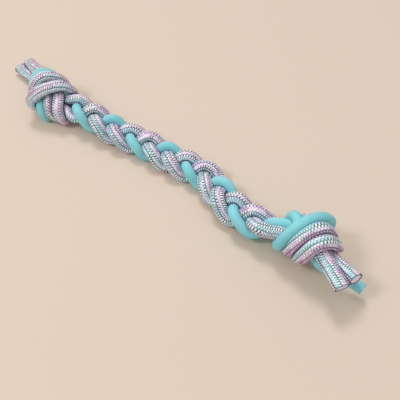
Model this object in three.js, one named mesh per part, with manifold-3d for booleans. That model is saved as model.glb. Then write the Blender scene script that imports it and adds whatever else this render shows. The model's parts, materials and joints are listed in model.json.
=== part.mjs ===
// Rope dog toy: two patterned braided cords and one rubber cord plaited together,
// with an overhand knot tied in all three at each end and short cut tails.
// Millimetres, +Z up, +X from the left knot to the right knot, standing on z = 0.
import * as THREE from "three";
import { mergeVertices } from "three/addons/utils/BufferGeometryUtils.js";
import Module from "manifold-3d";

// Cords: two braided ones, each a patterned sheath over a pale core, and one solid rubber one
const PATTERNED_DIAMETER = 10.4;
const SHEATH_WALL = 1.9;
const CORE_PLAY = 0.45;
const RUBBER_DIAMETER = 9.2;
const CLEARANCE = 0.5;
const FLOOR_FLAT = 1;

// Plait: its length between the knots, the swing and lift of a cord in it, and the line it lies on,
// which bows away a little and then shifts to the near side before the right knot
const PLAIT_LENGTH = 250;
const PLAIT_PERIOD = 71;
const PLAIT_SWING = 9.8;
const PLAIT_LIFT = 6.6;
const PLAIT_PHASE = 1.82;
const PLAIT_BOW = 6;
const PLAIT_HEIGHT = 10.5;
const NECK_HEIGHT = 20;
const SHIFT_NEAR = 22;
const SHIFT_FROM = 30;
const SHIFT_TO = 105;

// Knots, tied loose around the line of the plait and then pulled tight: roll is the knot's turn about
// that line, pull the force on each tail, shift and turn how the tight knot and its tails are laid down
const LEFT = {
  name: "left",
  side: -1,
  roll: 2.05,
  enter: 1,
  leave: 1,
  pull: 0.105,
  shift: 0,
  turn: 0.2,
};
const RIGHT = {
  name: "right",
  side: 1,
  roll: 3.85,
  enter: 1,
  leave: -1,
  pull: 0.15,
  shift: 14,
  turn: -0.45,
};
const LOOSE_REACH = 36;
const LOOSE_RADIUS = 28;
const LOOSE_HALF_LENGTH = 27;
const LOOSE_HALF_GAP = 0.62 * PATTERNED_DIAMETER;
const LOOSE_TAIL = 110;
const LOOSE_STEP = 8;
const LOOSE_LEAD = 10;
const LOOSE_RUN_OUT = 12;
const LOOSE_TURN_FROM = 45;
const LOOSE_TURN_TO = 495;
const LOOSE_TURN_STEP = 15;
const LAY_BEFORE = 15;
const LAY_AFTER = 25;
const TURN_BEFORE = 5;

// Tightening: a cord is a chain of points that keeps its length, resists bending and glides
const STEP = 4;
const ROUNDS = 4000;
const REST_ROUNDS = 500;
const PAIR_ROUNDS = 8;
const PASSES = 3;
const GLIDE = 0.96;
const REST_GLIDE = 0.8;
const BEND = 0.1;
const HOLD = 0.01;
const GRAVITY = 0.0005;
const PUSH = 0.0008;
const PUSH_REACH = 90;
const NEAR = 5;
const SELF_SKIP = 1.6 * PATTERNED_DIAMETER;
const CROSSWISE = 0.5;

// Bending joints: upright cuts across all three cords, opened like a wedge so that they can bend
const BODIES = ["left_knot", "plait_left", "plait_middle", "plait_right", "right_knot"];
const JOINT_STATIONS = [3, PLAIT_LENGTH / 3, (2 * PLAIT_LENGTH) / 3, PLAIT_LENGTH - 10];
const JOINT_RANGE = 15;
const JOINT_GAP = 0.4;

// Drawing: cross-sections are closest where a cord bends most
const FINE_STEP = 0.5;
const DRAW_STEP = 9;
const DRAW_SAG = 0.29;
const END_CLEAR = 2;
const OUTER_SIDES = 10;
const INNER_SIDES = OUTER_SIDES / 2;

// Finishes
const SHEATH_FINISH = { color: "#c3a6c9", roughness: 0.8 };
const CORE_FINISH = { color: "#e6deec", roughness: 0.9 };
const RUBBER_FINISH = { color: "#6fc8cc", roughness: 0.55 };

// Each cord's turn in the plait, in thirds of a period, and at each end its place across the knot,
// the direction its tail is pulled in and the tail's length beyond the knot
const CORDS = [
  {
    name: "first",
    diameter: PATTERNED_DIAMETER,
    turn: 1,
    left: { place: -1, pull: [-1, 0.1, 0.05], tail: 57 },
    right: { place: 0, pull: [1.05, -0.44, 0], tail: 22 },
  },
  {
    name: "second",
    diameter: PATTERNED_DIAMETER,
    turn: 2,
    left: { place: 0, pull: [-1, 0.25, 0.05], tail: 50 },
    right: { place: 1, pull: [0.97, -0.15, 0.3], tail: 28 },
  },
  {
    name: "rubber",
    diameter: RUBBER_DIAMETER,
    turn: 0,
    left: { place: 1, pull: [-1, 0.25, -0.2], tail: 14 },
    right: { place: -1, pull: [0.9, 0.3, -0.5], tail: 36 },
  },
];

const PITCH = PATTERNED_DIAMETER + CLEARANCE;
const { Manifold, Mesh } = await manifold();
const vec = (x, y, z) => new THREE.Vector3(x, y, z);

async function manifold() {
  const library = await Module();
  library.setup();
  return library;
}

// The plait's middle line, with its directions along, across (away) and up, s from the left neck.
function axisAt(s) {
  const at = (q) => {
    const f = q / PLAIT_LENGTH;
    const x = q - PLAIT_LENGTH / 2;
    const ends = Math.pow(Math.abs(2 * f - 1), 3);
    return vec(
      x,
      PLAIT_BOW * Math.sin(Math.PI * f) - SHIFT_NEAR * THREE.MathUtils.smoothstep(x, SHIFT_FROM, SHIFT_TO),
      PLAIT_HEIGHT + (NECK_HEIGHT - PLAIT_HEIGHT) * ends,
    );
  };
  const along = at(s + 0.5).sub(at(s - 0.5)).normalize();
  const across = vec(0, 0, 1).cross(along).normalize();
  return { at: at(s), along, across, up: along.clone().cross(across) };
}

// Three-strand plait: a cord swings from edge to edge, on top whenever it moves outward.
function plaitPoint(cord, s) {
  const angle = (2 * Math.PI * s) / PLAIT_PERIOD + PLAIT_PHASE + (2 * Math.PI * cord.turn) / 3;
  const axis = axisAt(s);
  return axis.at
    .addScaledVector(axis.across, PLAIT_SWING * Math.cos(angle))
    .addScaledVector(axis.up, -PLAIT_LIFT * Math.sin(2 * angle));
}

// A loose overhand knot outward from one neck: through the middle, one and a quarter turns back
// around itself, and through the middle again. The tightening starts from it.
function looseKnot(cord, end) {
  const neck = axisAt(end === RIGHT ? PLAIT_LENGTH : 0);
  const u = end === RIGHT ? neck.along : neck.along.clone().negate();
  const w = vec(0, 0, 1).applyAxisAngle(vec(1, 0, 0), end.roll);
  w.addScaledVector(u, -w.dot(u)).normalize();
  const v = w.clone().cross(u);
  const offset = cord[end.name].place * PITCH;
  const centre = neck.at.clone().addScaledVector(u, LOOSE_REACH).addScaledVector(w, -LOOSE_HALF_GAP);
  const place = (a, b, c) => {
    return centre.clone().addScaledVector(u, a).addScaledVector(v, b).addScaledVector(w, c);
  };
  const route = [];
  for (let a = LOOSE_LEAD - LOOSE_REACH; a < LOOSE_HALF_LENGTH - LOOSE_RUN_OUT + offset; a += LOOSE_STEP) {
    route.push(place(a, end.enter * offset, LOOSE_HALF_GAP));
  }
  for (let degrees = LOOSE_TURN_FROM; degrees <= LOOSE_TURN_TO; degrees += LOOSE_TURN_STEP) {
    const turn = THREE.MathUtils.degToRad(degrees);
    const a = LOOSE_HALF_LENGTH * (1 - turn / (1.5 * Math.PI)) + offset;
    route.push(place(a, -LOOSE_RADIUS * Math.sin(turn), LOOSE_RADIUS * Math.cos(turn)));
  }
  for (let a = LOOSE_RUN_OUT - LOOSE_HALF_LENGTH + offset; a < LOOSE_TAIL; a += LOOSE_STEP) {
    route.push(place(a, end.leave * offset, -LOOSE_HALF_GAP));
  }
  return route;
}

function spaced(points, step) {
  const curve = new THREE.CatmullRomCurve3(points, false, "centripetal");
  curve.arcLengthDivisions = 20 * points.length;
  return curve.getSpacedPoints(Math.round(curve.getLength() / step));
}

// One cord's loose route, left tail to right tail, with the plait stretch marked as held.
function looseCord(cord) {
  const plait = [];
  for (let s = 0; s <= PLAIT_LENGTH; s += 2) plait.push(plaitPoint(cord, s));
  const left = spaced([plait[0], ...looseKnot(cord, LEFT)], STEP).slice(1).reverse();
  const right = spaced([plait[plait.length - 1], ...looseKnot(cord, RIGHT)], STEP).slice(1);
  const middle = spaced(plait, STEP);
  const points = [...left, ...middle, ...right];
  return {
    cord,
    radius: cord.diameter / 2,
    points,
    before: points.map((p) => p.clone()),
    home: points.map((p, i) => (i < left.length || i >= left.length + middle.length ? null : p.clone())),
  };
}

// The points that may touch: of different cords, or of one cord well apart along it.
function closePairs(ropes) {
  const pairs = [];
  const skip = Math.ceil(SELF_SKIP / STEP);
  ropes.forEach((one, a) => {
    for (const other of ropes.slice(a)) {
      const least = one.radius + other.radius + CLEARANCE;
      const reach = least + NEAR;
      one.points.forEach((p, i) => {
        for (let j = one === other ? i + skip : 0; j < other.points.length; j++) {
          const q = other.points[j];
          if (Math.abs(p.x - q.x) < reach && p.distanceToSquared(q) < reach ** 2) pairs.push([p, q, least]);
        }
      });
    }
  });
  return pairs;
}

// Brings two points to a distance, each moving half the way.
function space(p, q, distance) {
  const gap = p.distanceTo(q);
  const share = (0.5 * (gap - distance)) / Math.max(gap, 1e-6);
  const x = (q.x - p.x) * share;
  const y = (q.y - p.y) * share;
  const z = (q.z - p.z) * share;
  p.set(p.x + x, p.y + y, p.z + z);
  q.set(q.x - x, q.y - y, q.z - z);
}

// Pulls the tails until the knots are tight: cords keep their length, resist bending,
// stay clear of one another and of the floor.
function tighten(ropes) {
  let pairs = [];
  const neck = PLAIT_LENGTH / 2;
  for (let round = 0; round < ROUNDS + REST_ROUNDS; round++) {
    const resting = round >= ROUNDS;
    if (round === ROUNDS) lay(ropes);
    if (round % PAIR_ROUNDS === 0) pairs = closePairs(ropes);
    for (const { cord, points, before, home } of ropes) {
      points.forEach((p, i) => {
        const drift = p.clone().sub(before[i]).multiplyScalar(resting ? REST_GLIDE : GLIDE);
        before[i].copy(p);
        p.add(drift);
        p.z -= GRAVITY;
        const out = Math.abs(p.x);
        if (!resting && out > neck && out < neck + PUSH_REACH) p.x -= Math.sign(p.x) * PUSH;
        if (home[i]) p.lerp(home[i], HOLD);
      });
      if (!resting) {
        points[0].addScaledVector(vec(...cord.left.pull), LEFT.pull);
        points[points.length - 1].addScaledVector(vec(...cord.right.pull), RIGHT.pull);
      }
      for (let i = 1; i < points.length - 1; i++) {
        const [p, q, r] = [points[i - 1], points[i], points[i + 1]];
        const bend = vec((p.x + r.x) / 2 - q.x, (p.y + r.y) / 2 - q.y, (p.z + r.z) / 2 - q.z);
        q.addScaledVector(bend, BEND);
        p.addScaledVector(bend, -BEND / 2);
        r.addScaledVector(bend, -BEND / 2);
      }
    }
    for (let pass = 0; pass < PASSES; pass++) {
      for (const { points } of ropes) {
        for (let i = 0; i < points.length - 1; i++) space(points[i], points[i + 1], STEP);
        for (let i = points.length - 2; i >= 0; i--) space(points[i], points[i + 1], STEP);
      }
      for (const [p, q, least] of pairs) {
        if (p.distanceToSquared(q) < least * least) space(p, q, least);
      }
      for (const { points, radius } of ropes) {
        for (const p of points) p.z = Math.max(p.z, radius - FLOOR_FLAT);
      }
    }
  }
}

// The outermost place where a cord runs across the toy: a knot ends there and the tails begin.
function knotFace(ropes, side) {
  let face = 0;
  for (const { points } of ropes) {
    for (let i = 1; i < points.length - 1; i++) {
      const run = points[i + 1].clone().sub(points[i - 1]).normalize();
      if (Math.abs(run.x) < CROSSWISE) face = Math.max(face, side * points[i].x);
    }
  }
  return side * face;
}

// Lays the tight toy down as it rests: a knot shifted to the side of the plait, its tails turned.
function lay(ropes) {
  for (const end of [LEFT, RIGHT]) {
    const neck = PLAIT_LENGTH / 2;
    const face = end.side * knotFace(ropes, end.side);
    for (const { points, before, home } of ropes) {
      for (const p of [...points, ...before, ...home]) {
        if (!p) continue;
        const out = end.side * p.x;
        p.y += end.shift * THREE.MathUtils.smoothstep(out, neck - LAY_BEFORE, neck + LAY_AFTER);
        p.y += end.turn * Math.max(0, out - face + TURN_BEFORE);
      }
    }
  }
}

// A cord between its two cut tail ends, as close points with a direction and two cross directions.
function drawnCord({ cord, points }, leftFace, rightFace) {
  const low = leftFace - cord.left.tail;
  const high = rightFace + cord.right.tail;
  const fine = spaced(points, FINE_STEP).filter((p) => p.x > low && p.x < high);
  let side = vec(0, 1, 0);
  return fine.map((at, i) => {
    const along = fine[Math.min(i + 2, fine.length - 1)].clone().sub(fine[Math.max(i - 2, 0)]).normalize();
    side = side.clone().addScaledVector(along, -side.dot(along)).normalize();
    return { at, along, side, up: along.clone().cross(side) };
  });
}

// The joint nearest a station at which one cord turns at the plait's edge,
// where the cuts are least slanted.
function jointPlane(station) {
  const sixth = PLAIT_PERIOD / 6;
  const start = (-PLAIT_PHASE * PLAIT_PERIOD) / (2 * Math.PI);
  const s = start + Math.round((station - start) / sixth) * sixth;
  const x = s - PLAIT_LENGTH / 2;
  return { x, y: axisAt(s).at.y };
}

// The cross-sections of a cord, closer together where it bends more. A straight step between two
// of them sags from the curve by an eighth of its length times the turn.
function sections(fine) {
  const picked = [fine[0]];
  const last = fine.length - END_CLEAR / FINE_STEP;
  let since = 0;
  for (let i = 1; i < last; i++) {
    const length = (i - since) * FINE_STEP;
    const turn = fine[i].along.angleTo(fine[since].along);
    if ((length * turn) / 8 > DRAW_SAG || length > DRAW_STEP) {
      picked.push(fine[i]);
      since = i;
    }
  }
  picked.push(fine[fine.length - 1]);
  return picked;
}

function ring(section, radius, sides) {
  const points = [];
  for (let k = 0; k < sides; k++) {
    const angle = (2 * Math.PI * k) / sides;
    points.push(
      section.at
        .clone()
        .addScaledVector(section.side, radius * Math.cos(angle))
        .addScaledVector(section.up, radius * Math.sin(angle)),
    );
  }
  return points;
}

// The wall of a tube between rings of points, facing out, or in for a bore.
function wall(rings, sides, base, inward) {
  const faces = [];
  for (let i = 0; i < rings - 1; i++) {
    for (let k = 0; k < sides; k++) {
      const a = base + i * sides + k;
      const b = base + i * sides + ((k + 1) % sides);
      const pair = [[a, b, a + sides], [b, b + sides, a + sides]];
      for (const face of pair) faces.push(inward ? face.reverse() : face);
    }
  }
  return faces;
}

function solid(points, faces) {
  const mesh = new Mesh({
    numProp: 3,
    vertProperties: new Float32Array(points.flatMap((p) => p.toArray())),
    triVerts: new Uint32Array(faces.flat()),
  });
  return new Manifold(mesh);
}

function solidCord(line, radius, sides) {
  const points = line.flatMap((section) => ring(section, radius, sides));
  const faces = wall(line.length, sides, 0, false);
  const far = (line.length - 1) * sides;
  for (let k = 1; k < sides - 1; k++) {
    faces.push([0, k + 1, k]);
    faces.push([far, far + k, far + k + 1]);
  }
  return solid(points, faces);
}

function hollowCord(line, radius, bore) {
  const outer = line.flatMap((section) => ring(section, radius, OUTER_SIDES));
  const inner = line.flatMap((section) => ring(section, bore, INNER_SIDES));
  const faces = [
    ...wall(line.length, OUTER_SIDES, 0, false),
    ...wall(line.length, INNER_SIDES, outer.length, true),
  ];
  for (const end of [0, line.length - 1]) {
    const rim = end * OUTER_SIDES;
    const lip = outer.length + end * INNER_SIDES;
    for (let k = 0; k < INNER_SIDES; k++) {
      const [a, b, c] = [0, 1, 2].map((step) => rim + ((2 * k + step) % OUTER_SIDES));
      const [d, e] = [0, 1].map((step) => lip + ((k + step) % INNER_SIDES));
      const trio = [[a, b, d], [b, e, d], [b, c, e]];
      for (const face of trio) faces.push(end ? face : face.reverse());
    }
  }
  return solid([...outer, ...inner], faces);
}

// One body's share of the space above the floor, between two joints that are each opened like a wedge.
// Half the plait's length reaches well beyond the sides and the top of the knots.
function share(before, after) {
  const reach = PLAIT_LENGTH / 2;
  const slope = Math.tan(THREE.MathUtils.degToRad(JOINT_RANGE / 2));
  const point = (x, y) => new THREE.Vector2(x, y);
  const edge = (joint, side) => {
    const far = -side * 2 * PLAIT_LENGTH;
    if (!joint) return [point(far, -reach), point(far, reach)];
    const x = joint.x + (side * JOINT_GAP) / 2;
    const spread = x + side * slope * reach;
    return [point(spread, joint.y - reach), point(x, joint.y), point(spread, joint.y + reach)];
  };
  const outline = new THREE.Shape([...edge(after, -1), ...edge(before, 1).reverse()]);
  const block = new THREE.ExtrudeGeometry(outline, { depth: reach, bevelEnabled: false });
  block.deleteAttribute("normal");
  block.deleteAttribute("uv");
  const { attributes, index } = mergeVertices(block);
  const mesh = new Mesh({
    numProp: 3,
    vertProperties: attributes.position.array,
    triVerts: new Uint32Array(index.array),
  });
  return new Manifold(mesh);
}

function add(group, name, part, finish) {
  const { vertProperties, triVerts } = part.getMesh();
  const shape = new THREE.BufferGeometry();
  shape.setAttribute("position", new THREE.Float32BufferAttribute(vertProperties, 3));
  shape.setIndex([...triVerts]);
  shape.computeVertexNormals();
  const mesh = new THREE.Mesh(shape, new THREE.MeshStandardMaterial(finish));
  mesh.name = name;
  group.add(mesh);
}

// The pieces of one cord, whole from tail to tail: its name's ending, its solid and its finish.
function cordPieces({ cord, radius }, line) {
  if (cord.name === "rubber") return [["", solidCord(line, radius, OUTER_SIDES), RUBBER_FINISH]];
  const bore = radius - SHEATH_WALL;
  return [
    ["_sheath", hollowCord(line, radius, bore), SHEATH_FINISH],
    ["_core", solidCord(line, bore - CORE_PLAY, INNER_SIDES), CORE_FINISH],
  ];
}

function build() {
  const group = new THREE.Group();
  group.name = "rope_dog_toy";
  const ropes = CORDS.map(looseCord);
  tighten(ropes);
  const leftFace = knotFace(ropes, -1);
  const rightFace = knotFace(ropes, 1);
  const joints = JOINT_STATIONS.map(jointPlane);
  const shares = BODIES.map((body, k) => share(joints[k - 1], joints[k]));
  for (const rope of ropes) {
    const line = sections(drawnCord(rope, leftFace, rightFace));
    for (const [ending, whole, finish] of cordPieces(rope, line)) {
      BODIES.forEach((body, k) => {
        add(group, `${body}_${rope.cord.name}${ending}`, whole.intersect(shares[k]), finish);
      });
    }
  }
  const box = new THREE.Box3().setFromObject(group);
  const middle = box.getCenter(vec(0, 0, 0));
  for (const mesh of group.children) mesh.geometry.translate(-middle.x, -middle.y, 0);
  group.userData.joints = joints.map((joint) => [joint.x - middle.x, joint.y - middle.y]);
  return group;
}

export default build();
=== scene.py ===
import json
import math
from types import SimpleNamespace

import bpy
import numpy as np
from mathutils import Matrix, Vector


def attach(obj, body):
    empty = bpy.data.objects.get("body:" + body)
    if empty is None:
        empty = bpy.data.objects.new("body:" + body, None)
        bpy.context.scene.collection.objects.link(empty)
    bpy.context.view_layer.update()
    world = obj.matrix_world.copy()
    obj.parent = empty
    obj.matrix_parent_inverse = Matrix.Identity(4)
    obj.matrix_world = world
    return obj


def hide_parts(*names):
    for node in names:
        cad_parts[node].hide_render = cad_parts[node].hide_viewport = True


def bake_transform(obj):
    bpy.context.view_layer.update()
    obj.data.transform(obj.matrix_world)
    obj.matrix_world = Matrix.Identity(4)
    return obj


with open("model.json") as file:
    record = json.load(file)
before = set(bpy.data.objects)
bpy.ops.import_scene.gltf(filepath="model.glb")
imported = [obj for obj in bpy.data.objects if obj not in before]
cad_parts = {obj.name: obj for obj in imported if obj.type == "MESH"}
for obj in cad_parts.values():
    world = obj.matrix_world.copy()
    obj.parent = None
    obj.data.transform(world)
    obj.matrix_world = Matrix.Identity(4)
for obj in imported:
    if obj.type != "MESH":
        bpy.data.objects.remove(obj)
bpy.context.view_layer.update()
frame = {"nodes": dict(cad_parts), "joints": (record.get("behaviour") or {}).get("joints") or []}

JOINTS = {j["name"]: j for j in frame["joints"]}
BODIES = ["left_knot", "plait_left", "plait_middle", "plait_right", "right_knot"]

# Lengths are in metres
MM = 0.001

# Solid cords: how they are made, and how closely their cross-sections are read
CORE_RADIUS, CORE_SIDES = 2.85 * MM, 5
RUBBER_RADIUS, RUBBER_SIDES = 4.6 * MM, 10
SPOT_DIGITS, FEWEST_IN_RING = 7, 4
EDGE_SLACK, SAME_PLACE, FINE_STEP = 0.003 * MM, 0.5 * MM, 0.1 * MM

# Soft cords: half their width and thickness where they are free, and the least that pressing leaves
BRAID_WIDE, BRAID_THIN, BRAID_LEAST = 7.6 * MM, 5.3 * MM, 3.6 * MM
RUBBER_FULL = 5.0 * MM
FLOOR_GAP = 0.02 * MM

# Knots: how far out their faces are, and over what lengths the flattening turns at neck and face
KNOT_FACE, NECK_FADE, FACE_FADE = 190 * MM, 15 * MM, 12 * MM

# Pressing: the grid and turns it is worked out in, how near along itself a cord isn't pressed, and how
# far from another cord the painted shade where cords touch reaches
PRESS_STEP, PRESS_AROUND, PRESS_NEAREST = 1.0 * MM, 32, 40
PRESS_TURNS, PRESS_SHARE, SMOOTH_TURNS = 10, 0.6, 2
SELF_SKIP, CONTACT_SHADE_REACH = 16 * MM, 1.1 * MM
FAR_AWAY, LEAST_LENGTH, LEAST_DROP = 1.0, 1e-6, 0.05

# Braid: lengthwise wales of stitches, with two wales to a pleat
WALES, ACROSS_WALE = 12, 6
STITCH, ALONG_STITCH = 2.2 * MM, 6
PLEAT_DEPTH, WALE_DEPTH, STITCH_DEPTH, STITCH_LEAN = 0.6 * MM, 0.25 * MM, 0.3 * MM, 0.1
RIDGE_POWER, PLEAT_POWER = 0.8, 0.5

# Cut ends: rings as a share of the cord's last ring and how many millimetres out they stand
CUT_LIP = [(0.99, 0.15), (0.94, 0.4), (0.86, 0.45), (0.79, 0.2), (0.76, -0.8), (0.75, -2.5)]
RUBBER_EDGE = [(1.0, -0.5), (0.985, -0.14), (0.94, 0)]
FLARE, FLARE_LENGTH = 0.12, 7 * MM
CORE_SHARE, CORE_HEART, CORE_RINGS = 0.78, 0.1, 9
CORE_DEEP, CORE_YARN, CORE_BUMP = 3 * MM, 1.3 * MM, 0.16 * MM
RUBBER_STEP, RUBBER_AROUND = 1.0 * MM, 40
CORE_SHARP_DEGREES, RUBBER_SHARP_DEGREES = 50, 40

# Map for baking: a tube's rows, and small discs for its two ends above them
ROW_SHAPE, ROW_MARGIN, END_MARGIN, ROWS_TOP, ROUND_OFF = 1.2, 0.01, 0.001, 0.95, 1e-9
DISC_LEFT, DISC_APART, DISC_RADIUS, DISC_LEVEL = 0.05, 0.06, 0.02, 0.976


def linear(r, g, b):
    """An sRGB colour of 0 to 255 as linear RGBA."""
    values = [c / 255 for c in (r, g, b)]
    return [c / 12.92 if c <= 0.04045 else ((c + 0.055) / 1.055) ** 2.4 for c in values] + [1.0]


# Centrelines, read from the solids


def circle_centre(points):
    """The centre of the circle that points in one plane lie on."""
    middle = points.mean(0)
    plane = np.linalg.svd(points - middle)[2][:2]
    flat = (points - middle) @ plane.T
    sides = np.c_[2 * flat, np.ones(len(flat))]
    return middle + np.linalg.lstsq(sides, (flat**2).sum(1), rcond=None)[0][:2] @ plane


def cross_sections(node, radius, sides):
    """The centres of a solid cord's cross-sections, in order along it."""
    mesh = frame["nodes"][node].data
    places = np.zeros(3 * len(mesh.vertices), np.float32)
    mesh.vertices.foreach_get("co", places)
    ends = np.zeros(2 * len(mesh.edges), np.int32)
    mesh.edges.foreach_get("vertices", ends)
    places = places.reshape(-1, 3).astype(float).round(SPOT_DIGITS)
    spots, spot_of = np.unique(places, axis=0, return_inverse=True)
    edges = np.unique(np.sort(spot_of.ravel()[ends.reshape(-1, 2)], axis=1), axis=0)
    edges = edges[edges[:, 0] != edges[:, 1]]
    lengths = np.linalg.norm(spots[edges[:, 0]] - spots[edges[:, 1]], axis=1)
    around = np.abs(lengths - 2 * radius * math.sin(math.pi / sides)) < EDGE_SLACK
    ring_of = list(range(len(spots)))

    def root(i):
        while ring_of[i] != i:
            i = ring_of[i]
        return i

    for a, b in edges[around]:
        ring_of[root(a)] = root(b)
    rings = {}
    for i in np.unique(edges[around]):
        rings.setdefault(root(i), []).append(i)
    rings = {k: v for k, v in rings.items() if FEWEST_IN_RING <= len(v) <= sides}
    centres = {k: circle_centre(spots[v]) for k, v in rings.items()}
    beside = {k: set() for k in rings}
    for a, b in edges[~around]:
        a, b = root(a), root(b)
        if a != b and a in rings and b in rings:
            beside[a].add(b)
            beside[b].add(a)
    return chain(centres, beside)


def chain(centres, beside):
    """The centres in order: along rings that share an edge, and across a lost ring to the nearest."""
    start = min(centres, key=lambda k: (len(beside[k]), centres[k][0]))
    order, left = [start], set(centres) - {start}
    while left:
        last = order[-1]
        near = (beside[last] & left) or left
        order.append(min(near, key=lambda k: np.linalg.norm(centres[k] - centres[last])))
        left.discard(order[-1])
    return np.array([centres[k] for k in order])


def cord_line(strand, radius, sides):
    """One cord's centreline, from its left tail to its right tail."""
    line = []
    for body in BODIES:
        part = cross_sections(f"{body}_{strand}", radius, sides)
        if line:
            turned = np.linalg.norm(part[-1] - line[-1]) < np.linalg.norm(part[0] - line[-1])
        else:
            neck = JOINTS["left_neck_bend"]["pos_m"][0]
            turned = abs(part[0, 0] - neck) < abs(part[-1, 0] - neck)
        line.extend(part[::-1] if turned else part)
    line = np.array(line)
    apart = np.linalg.norm(np.diff(line, axis=0), axis=1)
    return line[np.r_[True, apart > SAME_PLACE]]


def spline(points, step):
    """Points a step apart on a cubic spline through points."""
    gaps = np.linalg.norm(np.diff(points, axis=0), axis=1)
    at = np.r_[0, np.cumsum(gaps)]
    n = len(points)
    system, target = np.eye(n), np.zeros((n, 3))
    slopes = np.diff(points, axis=0) / gaps[:, None]
    for i in range(1, n - 1):
        system[i, i - 1 : i + 2] = gaps[i - 1], 2 * (gaps[i - 1] + gaps[i]), gaps[i]
        target[i] = 6 * (slopes[i] - slopes[i - 1])
    curving = np.linalg.solve(system, target)
    fine = np.linspace(0, at[-1], int(at[-1] / FINE_STEP))
    i = np.clip(np.searchsorted(at, fine) - 1, 0, n - 2)
    h = gaps[i][:, None]
    a = (at[i + 1] - fine)[:, None] / h
    b = (fine - at[i])[:, None] / h
    line = a * points[i] + b * points[i + 1]
    line += ((a**3 - a) * curving[i] + (b**3 - b) * curving[i + 1]) * h**2 / 6
    return evenly(line, step)


def evenly(line, step):
    """Points along a line at even distances, about a step apart."""
    run = np.r_[0, np.cumsum(np.linalg.norm(np.diff(line, axis=0), axis=1))]
    places = np.linspace(0, run[-1], round(run[-1] / step) + 1)
    return np.stack([np.interp(places, run, line[:, k]) for k in range(3)], 1)


def directions(line):
    """Directions along a line, and two across it that turn no more than they must."""
    along = np.gradient(line, axis=0)
    along /= np.linalg.norm(along, axis=1)[:, None]
    side = np.zeros_like(line)
    last = np.array([0.0, 1.0, 0.0])
    for i, t in enumerate(along):
        last = last - t * (last @ t)
        last /= np.linalg.norm(last)
        side[i] = last
    return along, side, np.cross(along, side)


def outward(side, up, count):
    """So many angles around a line, and the directions outward at them for each of its points."""
    angle = 2 * math.pi * np.arange(count) / count
    return angle, side[:, None] * np.cos(angle)[:, None] + up[:, None] * np.sin(angle)[:, None]


ROUTES = {
    "first": cord_line("first_core", CORE_RADIUS, CORE_SIDES),
    "second": cord_line("second_core", CORE_RADIUS, CORE_SIDES),
    "rubber": cord_line("rubber", RUBBER_RADIUS, RUBBER_SIDES),
}
LINES = {name: spline(route, PRESS_STEP) for name, route in ROUTES.items()}


# Soft cords, pressed by what they touch

KNOTS = [
    (JOINTS["left_neck_bend"]["pos_m"][0], -KNOT_FACE),
    (JOINTS["right_neck_bend"]["pos_m"][0], KNOT_FACE),
]


def knot_weight(x, joint, face):
    """1 for places in the knot between its neck and its outer face, 0 in the plait and the tails."""
    past_neck = np.clip((x - joint) / NECK_FADE * np.sign(face - joint), 0, 1)
    before_face = np.clip((face - x) / FACE_FADE * np.sign(face - joint), 0, 1)
    t = past_neck * before_face
    return t * t * (3 - 2 * t)


def thin_way(line, along):
    """The way a soft cord is flattened: downward in the plait and tails, towards the middle in a knot."""
    points = np.concatenate(list(LINES.values()))
    way = np.zeros_like(line)
    way[:, 2] = 1
    for joint, face in KNOTS:
        inside = (points[:, 0] - joint) * np.sign(face - joint)
        middle = points[(inside > 0) & (inside < abs(face - joint))].mean(0)
        out = line - middle
        out[:, 0] = 0
        out /= np.maximum(np.linalg.norm(out, axis=1), LEAST_LENGTH)[:, None]
        out *= np.where(out[:, 2] < 0, -1, 1)[:, None]
        way += knot_weight(line[:, 0], joint, face)[:, None] * (out - way)
    way -= along * (way * along).sum(1)[:, None]
    way /= np.linalg.norm(way, axis=1)[:, None]
    return way


def pressed(name):
    """How far a braided cord's skin stands from its centreline, and how near other cords are to it.

    Both are by place and angle, and the nearness is 1 where the cords touch; it is used as painted shade
    where cords touch."""
    line = LINES[name]
    along, side, up = directions(line)
    points = np.concatenate(list(LINES.values()))
    hard = np.concatenate([np.full(len(v), k == "rubber") for k, v in LINES.items()])
    own = np.concatenate([np.full(len(v), k == name) for k, v in LINES.items()])
    place = np.concatenate([np.arange(len(v)) for v in LINES.values()])
    apart = np.linalg.norm(points[None] - line[:, None], axis=2)
    steps = np.abs(place[None] - np.arange(len(line))[:, None])
    apart[own[None] & (steps * PRESS_STEP < SELF_SKIP)] = FAR_AWAY
    near = np.argpartition(apart, PRESS_NEAREST, axis=1)[:, :PRESS_NEAREST]
    far = apart[np.arange(len(line))[:, None], near] > FAR_AWAY / 2
    _, out = outward(side, up, PRESS_AROUND)
    rise = (out * thin_way(line, along)[:, None]).sum(2)
    skin = 1 / np.sqrt((rise / BRAID_THIN) ** 2 + (1 - rise**2) / BRAID_WIDE**2)
    for _ in range(PRESS_TURNS):
        places = line[:, None] + out * skin[:, :, None]
        gap = np.linalg.norm(places[:, :, None] - points[near][:, None], axis=3)
        gap[np.broadcast_to(far[:, None], gap.shape)] = FAR_AWAY
        want = np.where(hard[near][:, None], RUBBER_FULL, skin[:, :, None])
        clear = (gap - want).min(2)
        skin = skin - np.clip(-clear, 0, None) * PRESS_SHARE
    drop = -out[:, :, 2]
    to_floor = np.where(drop > LEAST_DROP, line[:, None, 2] / np.maximum(drop, LEAST_DROP), FAR_AWAY)
    skin = np.clip(np.minimum(skin, to_floor), BRAID_LEAST, None)
    for _ in range(SMOOTH_TURNS):
        skin = (2 * skin + np.roll(skin, 1, 1) + np.roll(skin, -1, 1)) / 4
        skin[1:-1] = (2 * skin[1:-1] + skin[:-2] + skin[2:]) / 4
    return skin, np.clip(1 - clear / CONTACT_SHADE_REACH, 0, 1) ** 2


def read_grid(grid, run, angle):
    """A grid of pressed() at runs along the cord and angles around it."""
    i = np.clip(run / PRESS_STEP, 0, len(grid) - 1)
    j = angle / (2 * math.pi) * PRESS_AROUND
    i0 = np.minimum(i.astype(int), len(grid) - 2)
    j0 = j.astype(int)
    fi, fj = (i - i0)[:, None], (j - j0)[None]
    row = grid[i0] * (1 - fi) + grid[i0 + 1] * fi
    return row[:, j0 % PRESS_AROUND] * (1 - fj) + row[:, (j0 + 1) % PRESS_AROUND] * fj


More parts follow.
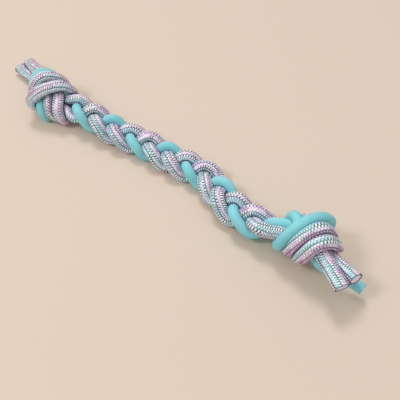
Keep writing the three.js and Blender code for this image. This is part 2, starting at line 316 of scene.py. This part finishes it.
# Meshes


def tube(places, uv=None):
    """A closed tube whose rings of places are given in order, with a pattern map if there is one."""
    rings, around = places.shape[:2]
    grid = np.arange(rings * around).reshape(rings, around)
    beside = np.roll(grid, -1, 1)
    quads = np.stack([grid[:-1], beside[:-1], beside[1:], grid[1:]], 2).reshape(-1, 4)
    if uv is None:
        uv = np.zeros((rings, around + 1, 2))
    corners = [uv[:-1, :-1], uv[:-1, 1:], uv[1:, 1:], uv[1:, :-1]]
    pattern = np.stack(corners, 2).reshape(-1, 2)
    ends = [grid[0][::-1], grid[-1]]
    return places.reshape(-1, 3), quads, pattern, ends, strips(rings, around)


def strips(rings, around):
    """A map without overlaps for a long tube: its length in rows, one above the other."""
    rows = max(1, round(math.sqrt(rings / around / ROW_SHAPE)))
    band, k = np.meshgrid(np.arange(rings - 1), np.arange(around), indexing="ij")
    place = band * rows / (rings - 1)
    row = np.floor(place + ROUND_OFF)
    left = place - row
    right = left + rows / (rings - 1)
    u = np.stack([left, left, right, right], 2) * (1 - 2 * END_MARGIN) + END_MARGIN
    inside = 1 - 2 * ROW_MARGIN
    low, high = ((row + ROW_MARGIN + inside * (k + n) / around) * ROWS_TOP / rows for n in (0, 1))
    v = np.stack([low, high, high, low], 2)
    return np.stack([u, v], 3).reshape(-1, 2)


def disc_map(count, k):
    """A small disc for a tube's end, in the strip that the rows leave free."""
    angle = 2 * math.pi * np.arange(count) / count
    across = DISC_LEFT + DISC_APART * k + DISC_RADIUS * np.cos(angle)
    return np.stack([across, DISC_LEVEL + DISC_RADIUS * np.sin(angle)], 1)


def piece_of(name, part, materials, material_of=None, sharp=None, contact_shade=None):
    """One object made from a tube."""
    places, quads, pattern, ends, baked = part
    loops = np.concatenate([quads.ravel(), *ends])
    sizes = np.concatenate([np.full(len(quads), 4), [len(ring) for ring in ends]]).astype(int)
    starts = np.r_[0, np.cumsum(sizes)[:-1]]
    mesh = bpy.data.meshes.new(name)
    mesh.vertices.add(len(places))
    mesh.vertices.foreach_set("co", places.astype(np.float32).ravel())
    mesh.loops.add(len(loops))
    mesh.loops.foreach_set("vertex_index", loops.astype(np.int32))
    mesh.polygons.add(len(starts))
    mesh.polygons.foreach_set("loop_start", starts.astype(np.int32))
    for material in materials:
        mesh.materials.append(material)
    if material_of is not None:
        worn = np.r_[material_of, np.full(len(ends), len(materials) - 1)]
        mesh.polygons.foreach_set("material_index", worn.astype(np.int32))
    mesh.update(calc_edges=True)
    discs = [disc_map(len(ring), k) for k, ring in enumerate(ends)]
    for title, flat in (("Braid", pattern), ("OFBake", baked)):
        layer = mesh.uv_layers.new(name=title)
        layer.uv.foreach_set("vector", np.concatenate([flat, *discs]).astype(np.float32).ravel())
    # The painted shade where other cords touch, kept on the mesh for the braid material to read
    if contact_shade is not None:
        layer = mesh.attributes.new("contact_shade", "FLOAT", "POINT")
        layer.data.foreach_set("value", contact_shade.astype(np.float32).ravel())
    mesh.shade_smooth()
    if sharp:
        mesh.set_sharp_from_angle(angle=math.radians(sharp))
    piece = bpy.data.objects.new(name, mesh)
    bpy.context.scene.collection.objects.link(piece)
    return piece


# Materials


class Tree:
    """The nodes of a material or a world, with short ways to add to them."""

    def __init__(self, owner):
        owner.use_nodes = True
        self.nodes = owner.node_tree.nodes
        self.links = owner.node_tree.links

    def put(self, socket, value):
        """Set a socket to a plain value, or link another node's output to it."""
        if isinstance(value, bpy.types.NodeSocket):
            self.links.new(value, socket)
        else:
            socket.default_value = value

    def add(self, kind, inputs, **settings):
        """A new node with its settings, and its inputs by name or number."""
        node = self.nodes.new(kind)
        for name, value in settings.items():
            setattr(node, name, value)
        for socket, value in inputs.items():
            self.put(node.inputs[socket], value)
        return node

    def calc(self, kind, a, b=0.0):
        """One step of arithmetic with one or two values."""
        return self.add("ShaderNodeMath", {0: a, 1: b}, operation=kind).outputs[0]

    def mix(self, factor, a, b):
        """Colour a, with colour b by the factor."""
        return self.add("ShaderNodeMix", {0: factor, 6: a, 7: b}, data_type="RGBA").outputs[2]

    def ease(self, value, start, end):
        """0 below start, 1 above end, and smooth between."""
        inputs = {"Value": value, "From Min": start, "From Max": end}
        return self.add("ShaderNodeMapRange", inputs, interpolation_type="SMOOTHSTEP").outputs[0]

    def spread(self, value, low, high):
        """A value of 0 to 1 as one from low to high."""
        return self.add("ShaderNodeMapRange", {"Value": value, "To Min": low, "To Max": high}).outputs[0]

    def bump(self, height, strength, distance):
        """A normal that follows a height."""
        inputs = {"Height": height, "Strength": strength, "Distance": distance}
        return self.add("ShaderNodeBump", inputs).outputs[0]


def new_material(name):
    """A material, its nodes and its shader."""
    material = bpy.data.materials.new(name)
    tree = Tree(material)
    return material, tree, tree.nodes["Principled BSDF"]


# White, the colour of the painted shade in creases and where cords touch, mint and pink; then the colours
# of each wale: on top of its stitches, and between them, where the darker colour is partly the yarn's own
# and partly painted shade in the recesses between stitches
WHITE, PAINTED_SHADE, MINT, PINK = (255, 255, 255), (82, 84, 110), (180, 234, 228), (242, 196, 230)
YARNS = [
    (WHITE, (50, 56, 82)),
    ((242, 200, 236), (154, 114, 158)),
    ((250, 238, 252), (206, 190, 218)),
    ((244, 255, 253), (52, 94, 106)),
    ((196, 240, 240), (112, 166, 174)),
    ((218, 245, 250), (172, 208, 220)),
    ((255, 248, 254), (86, 62, 102)),
    ((232, 196, 236), (148, 110, 158)),
    ((254, 241, 253), (216, 194, 218)),
    ((246, 255, 255), (50, 64, 90)),
    ((180, 224, 230), (100, 146, 162)),
    ((224, 238, 249), (176, 194, 214)),
]

# Patches of yarn colour and fibre, and of deeper painted shade in the creases: the noise's pace by wale
# and by stitch, and where in it a patch begins and is full
COLOUR_PACE, COLOUR_EDGE = (3.7, 0.14), (0.48, 0.56)
FLASH_PACE, FLASH_EDGE = (5.3, 0.26), (0.54, 0.62)
FIBRE_PACE, FIBRE_EDGE = (2.2, 13), (0.35, 0.65)
CREASE_SHADE_PACE, CREASE_SHADE_EDGE = (4.3, 0.07), (0.3, 0.6)

# How strongly each shows, with the painted shade where cords touch among them, and which other wale's
# colours a patch takes
FLASH_SHARE, FIBRE_SHARE, CONTACT_SHADE_SHARE, COLOUR_SHIFT = 0.6, 0.08, 0.5, 5
# Painted glints: the random value above which a stitch is whitened, and by how much
GLINT_FROM, GLINT_SHARE = 0.78, 0.8

# Gaps between stitches, whose darker colour is partly painted shade, and the painted shade in the creases
# between pleats: where they begin and are full, from the middle
GAP_EDGE, PLEAT_SHADE_EDGE = (0.26, 0.35), (0.4, 0.48)
END_POWER, END_ROUND = 4, 0.1

# Gloss and relief of the yarn
YARN_ROUGHNESS, YARN_BUMP, YARN_BUMP_DEPTH, FIBRE_HEIGHT = (0.22, 0.4), 0.5, 0.2 * MM, 0.35

# Plain surfaces: how much they vary
MOTTLE_DETAIL, MOTTLE_EDGE, ROUGHNESS_SPREAD = 4, (0.35, 0.65), 0.08
GRAIN_BUMP, GRAIN_DEPTH = 0.15, 0.1 * MM


def stitch_places(tree):
    """Where a point lies in the braid, by wale and stitch, with a random value for each stitch."""
    calc = tree.calc
    place = tree.add("ShaderNodeUVMap", {}, uv_map="Braid")
    split = tree.add("ShaderNodeSeparateXYZ", {0: place.outputs[0]})
    wale_at, stitch_at = split.outputs[0], split.outputs[1]
    wale = calc("FLOOR", wale_at)
    across = calc("SUBTRACT", wale_at, wale)
    odd = calc("MODULO", wale, 2)
    lean = calc("MULTIPLY", calc("SUBTRACT", across, 0.5), STITCH_LEAN)
    phase = calc("ADD", calc("ADD", stitch_at, lean), calc("MULTIPLY", odd, 0.5))
    stitch = calc("FLOOR", phase)
    along = calc("SUBTRACT", phase, stitch)
    key = tree.add("ShaderNodeCombineXYZ", {0: wale, 1: stitch})
    dice = tree.add("ShaderNodeTexWhiteNoise", {"Vector": key.outputs[0]}, noise_dimensions="2D")
    return SimpleNamespace(
        wale_at=wale_at,
        stitch_at=stitch_at,
        wale=wale,
        across=across,
        odd=odd,
        along=along,
        dice=dice.outputs[0],
    )


def patches(tree, over, along, pace, edge):
    """1 in patches of the braid and 0 elsewhere, from a noise around the cord and along it."""
    by_wale_pace, by_stitch_pace = pace
    spot = {0: tree.calc("MULTIPLY", over, by_wale_pace), 1: tree.calc("MULTIPLY", along, by_stitch_pace)}
    vector = tree.add("ShaderNodeCombineXYZ", spot).outputs[0]
    inputs = {"Vector": vector, "Scale": 1.0, "Detail": 1.0}
    noise = tree.add("ShaderNodeTexNoise", inputs, noise_dimensions="2D")
    return tree.ease(noise.outputs[0], *edge)


def by_wale(tree, share, colours):
    """The colour of a wale, from its share of the way around."""
    ramp = tree.add("ShaderNodeValToRGB", {0: share})
    ramp.color_ramp.interpolation = "CONSTANT"
    elements = ramp.color_ramp.elements
    for k, colour in enumerate(colours):
        spot = elements[k] if k < 2 else elements.new(k / WALES)
        spot.position = k / WALES
        spot.color = linear(*colour)
    return ramp.outputs[0]


def yarn_colours(tree, at):
    """The colours on top of the stitches and between them, which change in patches along the cord, with
    painted glints as white on some stitches.
    """
    calc = tree.calc
    change = patches(tree, at.wale, at.stitch_at, COLOUR_PACE, COLOUR_EDGE)
    share = calc("DIVIDE", calc("ADD", at.wale, 0.5), WALES)
    other = calc("FRACT", calc("ADD", share, COLOUR_SHIFT / WALES))

    def changing(colours):
        return tree.mix(change, by_wale(tree, share, colours), by_wale(tree, other, colours))

    top, gap = (changing(colours) for colours in zip(*YARNS))
    flash = calc("MULTIPLY", patches(tree, at.wale, at.stitch_at, FLASH_PACE, FLASH_EDGE), FLASH_SHARE)
    top = tree.mix(flash, top, tree.mix(at.odd, linear(*MINT), linear(*PINK)))
    # Painted glints: some stitches turned partly white
    painted_glint = calc("MULTIPLY", calc("GREATER_THAN", at.dice, GLINT_FROM), GLINT_SHARE)
    return tree.mix(painted_glint, top, linear(*WHITE)), gap


def stitch_gaps(tree, at):
    """1 between two stitches of a wale, which have round ends, and 0 on them."""
    calc = tree.calc
    from_middle = calc("ABSOLUTE", calc("SUBTRACT", at.across, 0.5))
    round_end = calc("MULTIPLY", calc("POWER", calc("MULTIPLY", from_middle, 2), END_POWER), END_ROUND)
    from_centre = calc("ABSOLUTE", calc("SUBTRACT", at.along, 0.5))
    return tree.ease(calc("ADD", from_centre, round_end), *GAP_EDGE)


def pleat_crease_shade(tree, at):
    """Painted shade: 1 in the creases between pleats, which come and go along the cord, and 0 elsewhere.
    """
    calc = tree.calc
    pleat_at = calc("MULTIPLY", at.wale_at, 0.5)
    from_middle = calc("ABSOLUTE", calc("SUBTRACT", calc("FRACT", pleat_at), 0.5))
    crease = calc("MODULO", calc("ROUND", pleat_at), WALES / 2)
    depth = patches(tree, crease, at.stitch_at, CREASE_SHADE_PACE, CREASE_SHADE_EDGE)
    return calc("MULTIPLY", tree.ease(from_middle, *PLEAT_SHADE_EDGE), depth)


def braid_material():
    """Shiny stitches in lengthwise wales of several colours, with painted glints on some stitches, darker
    between stitches partly by painted shade, and painted shade in the creases between pleats and where
    cords touch.
    """
    material, tree, shader = new_material("braided_sheath")
    calc = tree.calc
    at = stitch_places(tree)
    top, gap = yarn_colours(tree, at)
    fibre = patches(tree, at.wale_at, at.stitch_at, FIBRE_PACE, FIBRE_EDGE)
    between = stitch_gaps(tree, at)
    top = tree.mix(calc("MULTIPLY", fibre, FIBRE_SHARE), top, gap)
    # Between stitches the colour turns to the darker one, partly the yarn's own and partly painted shade
    # in the recess
    colour = tree.mix(between, top, gap)
    # Painted shade in the creases between pleats
    colour = tree.mix(pleat_crease_shade(tree, at), colour, linear(*PAINTED_SHADE))
    # Painted shade where other cords touch: the colour is darkened towards the shade colour
    touch = tree.add("ShaderNodeAttribute", {}, attribute_name="contact_shade").outputs["Fac"]
    colour = tree.mix(calc("MULTIPLY", touch, CONTACT_SHADE_SHARE), colour, linear(*PAINTED_SHADE))
    height = calc("SUBTRACT", calc("MULTIPLY", fibre, FIBRE_HEIGHT), between)
    tree.put(shader.inputs["Base Color"], colour)
    tree.put(shader.inputs["Roughness"], tree.spread(at.dice, *YARN_ROUGHNESS))
    tree.put(shader.inputs["Normal"], tree.bump(height, YARN_BUMP, YARN_BUMP_DEPTH))
    shader.inputs["Specular IOR Level"].default_value = 0.8
    shader.inputs["Metallic"].default_value = 0.15
    return material


def mottled_material(name, dark, light, scale, roughness, grain):
    """A surface that varies a little between two colours, with a fine grain."""
    material, tree, shader = new_material(name)
    place = tree.add("ShaderNodeTexCoord", {}).outputs["Object"]
    inputs = {"Vector": place, "Scale": scale, "Detail": MOTTLE_DETAIL}
    mottle = tree.add("ShaderNodeTexNoise", inputs).outputs[0]
    fine = tree.add("ShaderNodeTexNoise", {"Vector": place, "Scale": grain}).outputs[0]
    colour = tree.mix(tree.ease(mottle, *MOTTLE_EDGE), linear(*dark), linear(*light))
    rough = tree.spread(mottle, roughness - ROUGHNESS_SPREAD, roughness + ROUGHNESS_SPREAD)
    tree.put(shader.inputs["Base Color"], colour)
    tree.put(shader.inputs["Roughness"], rough)
    tree.put(shader.inputs["Normal"], tree.bump(fine, GRAIN_BUMP, GRAIN_DEPTH))
    shader.inputs["Specular IOR Level"].default_value = 0.35
    return material


def floor_material():
    """A plain pale floor."""
    material, _, shader = new_material("pale_floor")
    shader.inputs["Base Color"].default_value = linear(226, 208, 191)
    shader.inputs["Roughness"].default_value = 0.9
    shader.inputs["Specular IOR Level"].default_value = 0.1
    return material


# Pieces

SPANS = [
    ("left", "left_knot", "plait_left", "left_neck_bend"),
    ("middle_left", "plait_left", "plait_middle", "plait_left_bend"),
    ("middle_right", "plait_middle", "plait_right", "plait_right_bend"),
    ("right", "plait_right", "right_knot", "right_neck_bend"),
]
STANDS_FOR = {
    "left": ["left_knot", "plait_left"],
    "middle_left": ["plait_middle"],
    "middle_right": ["plait_right"],
    "right": ["right_knot"],
}


def seams(line):
    """Where a cord is split: midway between its joints."""
    xs = [JOINTS[joint]["pos_m"][0] for *_, joint in SPANS]
    inner = [(a + b) / 2 for a, b in zip(xs, xs[1:])]
    body = np.flatnonzero((line[:, 0] > xs[0]) & (line[:, 0] < xs[-1]))
    cuts = [body[np.abs(line[body, 0] - x).argmin()] for x in inner]
    return [0, *cuts, len(line) - 1]


def rings_of(span, a, b, lip):
    """A piece's first ring and the one after its last, where the outer pieces take in a cut end."""
    first = a if span == "left" else a + lip
    last = b + 1 + (2 * lip if span == "right" else lip)
    return first, last


def bend(piece):
    """Applies the piece's placing to its mesh."""
    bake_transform(piece)


def declare(path, span):
    """Turns the path round for the left piece; nothing is kept or returned."""
    if span == "left":
        path = path[::-1]


def above_floor(rings):
    """The rings, with nothing of them below the floor."""
    rings[:, :, 2] = np.maximum(rings[:, :, 2], FLOOR_GAP)
    return rings


def end_rings(ring, centre, out, profile):
    """Rings beyond a cut end: each is a share of the last ring, moved out by so many millimetres."""
    rings = [centre + (ring - centre) * share + out * move * MM for share, move in profile]
    return above_floor(np.array(rings))


def with_ends(places, line, along, profile):
    """A whole cord's rings with those of its two cut ends added."""
    left = end_rings(places[0], line[0], -along[0], profile)[::-1]
    right = end_rings(places[-1], line[-1], along[-1], profile)
    return np.concatenate([left, places, right])


def stitched(name):
    """A braided cord's line and its rings of places, with the relief of its wales and stitches, and the
    painted shade where other cords touch it.
    """
    line = spline(ROUTES[name], STITCH / ALONG_STITCH)
    along, side, up = directions(line)
    angle, out = outward(side, up, WALES * ACROSS_WALE)
    run = np.linspace(0, 1, len(line)) * (len(LINES[name]) - 1) * PRESS_STEP
    skin, contact_shade = (read_grid(grid, run, angle) for grid in pressed(name))
    skin *= 1 + FLARE * np.clip(1 - run / FLARE_LENGTH, 0, 1)[:, None] ** 2
    at = np.arange(WALES * ACROSS_WALE) / ACROSS_WALE
    wale = np.floor(at)
    lean = (at - wale - 0.5) * STITCH_LEAN
    phase = np.arange(len(line))[:, None] / ALONG_STITCH + lean + (wale % 2) * 0.5
    ridge = np.abs(np.sin(math.pi * at)) ** RIDGE_POWER
    pleat = np.abs(np.sin(math.pi * at / 2)) ** PLEAT_POWER
    relief = PLEAT_DEPTH * (pleat - 1) + WALE_DEPTH * (ridge - 1)
    relief = relief + STITCH_DEPTH * (np.abs(np.sin(math.pi * phase)) - 1) * ridge
    places = above_floor(line[:, None] + out * (skin + relief)[:, :, None])
    return line, along, places, contact_shade


def braided(name, looks):
    """One patterned cord's sheath in four pieces, and its cut ends."""
    line, along, places, contact_shade = stitched(name)
    cuts = seams(line)
    lip = len(CUT_LIP)
    whole = with_ends(places, line, along, CUT_LIP)
    contact_shade = np.pad(contact_shade, ((lip, lip), (0, 0)))
    count = np.arange(-lip, len(line) + lip) / ALONG_STITCH
    wale = np.arange(places.shape[1] + 1) / ACROSS_WALE
    uv = np.stack(np.broadcast_arrays(wale[None], count[:, None]), 2)
    wear = [looks["sheath"], looks["edge"]]
    for span, a, b in zip(SPANS, cuts, cuts[1:]):
        first, last = rings_of(span[0], a, b, lip)
        band = np.arange(first, last - 1)
        edge = np.repeat((band < lip) | (band >= len(line) + lip - 1), places.shape[1])
        part = tube(whole[first:last], uv[first:last])
        sheath = piece_of(f"{name}_sheath_{span[0]}", part, wear, edge, contact_shade=contact_shade[first:last])
        bend(sheath)
        declare(line[a : b + 1], span[0])
        for body in STANDS_FOR[span[0]]:
            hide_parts(f"{body}_{name}_sheath")
            if "knot" not in body:
                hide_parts(f"{body}_{name}_core")
    core_end(name, "left", places[0], line[0], -along[0], looks)
    core_end(name, "right", places[-1], line[-1], along[-1], looks)


def core_end(name, end, ring, centre, out, looks):
    """The pale core where the cord is cut, seen inside the sheath's rim."""
    shares = np.linspace(1, CORE_HEART, CORE_RINGS)
    flat = [centre + (ring - centre) * CORE_SHARE * share for share in shares]
    flat = np.array([flat[0] - out * CORE_DEEP, *flat])
    across = ring[0] - centre
    bumps = 1.0
    for way in (across, np.cross(out, across)):
        bumps = bumps * np.cos(2 * math.pi * ((flat - centre) @ (way / np.linalg.norm(way))) / CORE_YARN)
    flat[1:] += out * (CORE_BUMP * bumps[1:])[:, :, None]
    part = tube(flat[::-1] if end == "left" else flat)
    core = piece_of(f"{name}_core_{end}", part, [looks["core"]], sharp=CORE_SHARP_DEGREES)
    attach(core, f"{end}_knot")
    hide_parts(f"{end}_knot_{name}_core")


def rubber(look):
    """The rubber cord, in four pieces."""
    line = spline(ROUTES["rubber"], RUBBER_STEP)
    along, side, up = directions(line)
    _, out = outward(side, up, RUBBER_AROUND)
    places = above_floor(line[:, None] + out * RUBBER_FULL)
    whole = with_ends(places, line, along, RUBBER_EDGE)
    cuts = seams(line)
    for span, a, b in zip(SPANS, cuts, cuts[1:]):
        first, last = rings_of(span[0], a, b, len(RUBBER_EDGE))
        part = tube(whole[first:last])
        cord = piece_of(f"rubber_cord_{span[0]}", part, [look], sharp=RUBBER_SHARP_DEGREES)
        bend(cord)
        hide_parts(*[f"{body}_rubber" for body in STANDS_FOR[span[0]]])
        declare(line[a : b + 1], span[0])


LOOKS = {
    "sheath": braid_material(),
    "edge": mottled_material(
        "sheath_edge",
        dark=(92, 84, 122),
        light=(128, 138, 166),
        scale=900,
        roughness=0.7,
        grain=3000,
    ),
    "core": mottled_material(
        "pale_core",
        dark=(240, 231, 244),
        light=(255, 251, 255),
        scale=1100,
        roughness=0.85,
        grain=4000,
    ),
    "rubber": mottled_material(
        "turquoise_rubber",
        dark=(132, 212, 220),
        light=(144, 221, 228),
        scale=60,
        roughness=0.54,
        grain=2200,
    ),
}
for strand in ("first", "second"):
    braided(strand, LOOKS)
rubber(LOOKS["rubber"])

# Floor, light and camera

SKY_LOW, SKY_HIGH = 0.35, 0.65
CAMERA_TURN, CAMERA_TILT, CAMERA_AWAY = math.radians(34.64), math.radians(51.22), 520.36 * MM
TARGET = Vector((64.07 * MM, -17.90 * MM, 10 * MM))


def lamp(name, place, size, power):
    """A round soft lamp that points at the middle of the toy."""
    data = bpy.data.lights.new(name, "AREA")
    data.shape = "DISK"
    data.size = size
    data.energy = power
    obj = bpy.data.objects.new(name, data)
    obj.location = place
    obj.rotation_mode = "QUATERNION"
    obj.rotation_quaternion = (-Vector(place)).to_track_quat("-Z", "Y")
    bpy.context.scene.collection.objects.link(obj)


bpy.ops.mesh.primitive_plane_add(size=20)
floor = bpy.context.object
floor.name = "floor"
floor.data.materials.append(floor_material())

world = bpy.data.worlds.new("soft_light")
bpy.context.scene.world = world
air = Tree(world)
sky = air.nodes["Background"]
sky.inputs["Color"].default_value = (1, 1, 1, 1)
way_out = air.add("ShaderNodeTexCoord", {}).outputs["Generated"]
height_out = air.add("ShaderNodeSeparateXYZ", {0: way_out}).outputs["Z"]
air.put(sky.inputs["Strength"], air.spread(height_out, SKY_LOW, SKY_HIGH))

lamp("key", place=(-3.25, 3.1, 7.8), size=2.7, power=248)
lamp("fill", place=(-0.93, -1.23, 1.85), size=0.6, power=15)

to_camera = Vector((
    math.sin(CAMERA_TURN) * math.cos(CAMERA_TILT),
    -math.cos(CAMERA_TURN) * math.cos(CAMERA_TILT),
    math.sin(CAMERA_TILT),
))
camera = bpy.data.objects.new("camera", bpy.data.cameras.new("camera"))
camera.data.lens = 48.6
camera.data.sensor_width = 36
camera.data.clip_start = 0.01
camera.location = TARGET + to_camera * CAMERA_AWAY
camera.rotation_mode = "QUATERNION"
camera.rotation_quaternion = (-to_camera).to_track_quat("-Z", "Y")
bpy.context.scene.collection.objects.link(camera)
bpy.context.scene.camera = camera
bpy.context.scene.view_settings.view_transform = "Standard"
